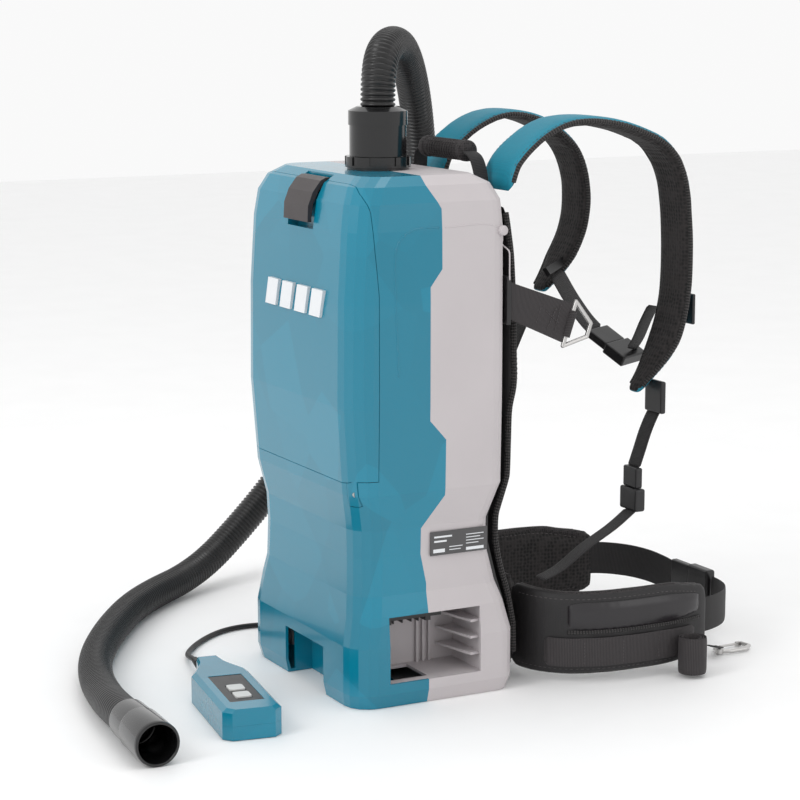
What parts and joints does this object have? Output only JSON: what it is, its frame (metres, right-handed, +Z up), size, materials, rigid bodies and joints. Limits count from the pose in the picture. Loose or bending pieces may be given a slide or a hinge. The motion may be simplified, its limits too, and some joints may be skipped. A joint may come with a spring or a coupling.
{
  "type": "backpack vacuum cleaner",
  "caption": "Cordless backpack vacuum: tall casing with hinged dust cover, corrugated hose, wired remote control, padded shoulder straps and hip belt.",
  "frame": {"origin": "on the floor under the middle of the casing, where the casing rests", "axes": "+Z up, -Y towards the dust cover, +Y towards the wearer and harness, +X towards the side with the rating plate"},
  "size_m": [0.6134, 0.7379, 0.6605],
  "materials": {
    "teal_plastic": "glossy moulded",
    "grey_plastic": "fine satin texture",
    "black_plastic": "glossy moulded",
    "dark_plastic": "satin moulded",
    "latch_plastic": "satin moulded",
    "hose_plastic": "corrugated, satin",
    "cable_jacket": "matt",
    "seal_rubber": "matt",
    "teal_fabric": "woven",
    "black_fabric": "woven, padded",
    "webbing": "ribbed webbing",
    "filter_paper": "pleated",
    "bag_fleece": "fleece",
    "foam": "open foam",
    "steel": "machined",
    "ring_steel": "plated wire",
    "copper_winding": "wound core",
    "board_green": "printed board",
    "plate_grey": "printed film",
    "badge_white": "printed",
    "button_grey": "soft touch"
  },
  "bodies": {
    "root": {"front_housing": "teal_plastic", "rear_housing": "grey_plastic", "exhaust_grille": "grey_plastic", "rating_plate": "plate_grey", "housing_screws": "steel", "battery_docks": "grey_plastic", "terminal_blocks": "dark_plastic", "circuit_boards": "board_green", "dust_chamber": "dark_plastic", "filter_frame": "dark_plastic", "filter_pleats": "filter_paper", "bag_collar_plate": "dark_plastic", "dust_bag": "bag_fleece", "inlet_socket": "black_plastic", "inlet_gasket": "seal_rubber", "motor_can": "dark_plastic", "motor_stator": "copper_winding", "motor_bearings": "steel", "damper_foam": "foam", "cover_hinge_pins": "steel", "hose_connector": "black_plastic", "hose": "hose_plastic", "hose_cuff": "black_plastic", "back_frame": "dark_plastic", "back_pad": "black_fabric", "shoulder_strap_right": "teal_fabric", "shoulder_strap_left": "teal_fabric", "carry_grip": "seal_rubber", "side_tabs": "webbing", "strap_webbing": "webbing", "chest_buckle_socket": "dark_plastic", "chest_buckle_tongue": "dark_plastic", "strap_buckles": "dark_plastic", "hip_belt_back": "black_fabric", "hip_wing_right": "black_fabric", "hip_wing_left": "black_fabric", "hip_webbing": "webbing", "hip_buckle_socket": "dark_plastic", "hip_buckle_tongue": "dark_plastic", "remote_top": "teal_plastic", "remote_bottom": "teal_plastic", "remote_panel": "dark_plastic", "remote_cable": "cable_jacket", "cable_coil": "cable_jacket", "cable_reliefs": "cable_jacket"},
    "dust_cover": {"dust_cover": "teal_plastic", "cover_seal": "seal_rubber", "cover_badge": "badge_white", "latch_pin": "steel", "latch_spring": "steel"},
    "latch": {"latch": "latch_plastic"},
    "lock_ring": {"lock_ring": "black_plastic"},
    "motor_rotor": {"motor_shaft": "steel", "impeller": "black_plastic"},
    "power_button": {"power_button": "button_grey"},
    "mode_button": {"mode_button": "button_grey"},
    "triangle_ring_right": {"triangle_ring_right": "ring_steel"},
    "triangle_ring_left": {"triangle_ring_left": "ring_steel"},
    "key_clip": {"key_clip": "ring_steel"},
    "key_clip_gate": {"key_clip_gate": "ring_steel"}
  },
  "joints": [
    {"name": "cover_hinge", "type": "hinge", "parent": "root", "child": "dust_cover", "pos_m": [0, -0.073, 0.216], "axis": [1, 0, 0], "range_deg": [0, 80]},
    {"name": "latch_pivot", "type": "hinge", "parent": "dust_cover", "child": "latch", "pos_m": [0.008, -0.064, 0.508], "axis": [-1, 0, 0], "range_deg": [0, 25], "stiffness_Nm_per_rad": 0.1},
    {"name": "lock_ring_twist", "type": "hinge", "parent": "root", "child": "lock_ring", "pos_m": [0.01, 0.004, 0.529], "axis": [0, 0, 1], "range_deg": [0, 35]},
    {"name": "motor_spin", "type": "hinge", "parent": "root", "child": "motor_rotor", "pos_m": [0, 0.003, 0.155], "axis": [0, 0, 1], "continuous": true},
    {"name": "power_button_press", "type": "slide", "parent": "root", "child": "power_button", "axis": [0, 0, -1], "range_m": [0, 0.0008], "stiffness_N_per_m": 800},
    {"name": "mode_button_press", "type": "slide", "parent": "root", "child": "mode_button", "axis": [0, 0, -1], "range_m": [0, 0.0008], "stiffness_N_per_m": 800},
    {"name": "ring_right_swing", "type": "hinge", "parent": "root", "child": "triangle_ring_right", "pos_m": [0.118, 0.157, 0.349], "axis": [0, 0.3237, 0.9462], "range_deg": [-80, 80]},
    {"name": "ring_left_swing", "type": "hinge", "parent": "root", "child": "triangle_ring_left", "pos_m": [-0.118, 0.157, 0.349], "axis": [0, 0.3237, 0.9462], "range_deg": [-80, 80]},
    {"name": "key_clip_swing", "type": "hinge", "parent": "root", "child": "key_clip", "pos_m": [0.118, 0.356, 0.0032], "axis": [0, 0, 1], "range_deg": [-30, 30]},
    {"name": "key_clip_gate_pivot", "type": "hinge", "parent": "key_clip", "child": "key_clip_gate", "pos_m": [0.104, 0.3888, 0.0032], "axis": [0, 0, 1], "range_deg": [0, 20], "stiffness_Nm_per_rad": 0.01}
  ]
}
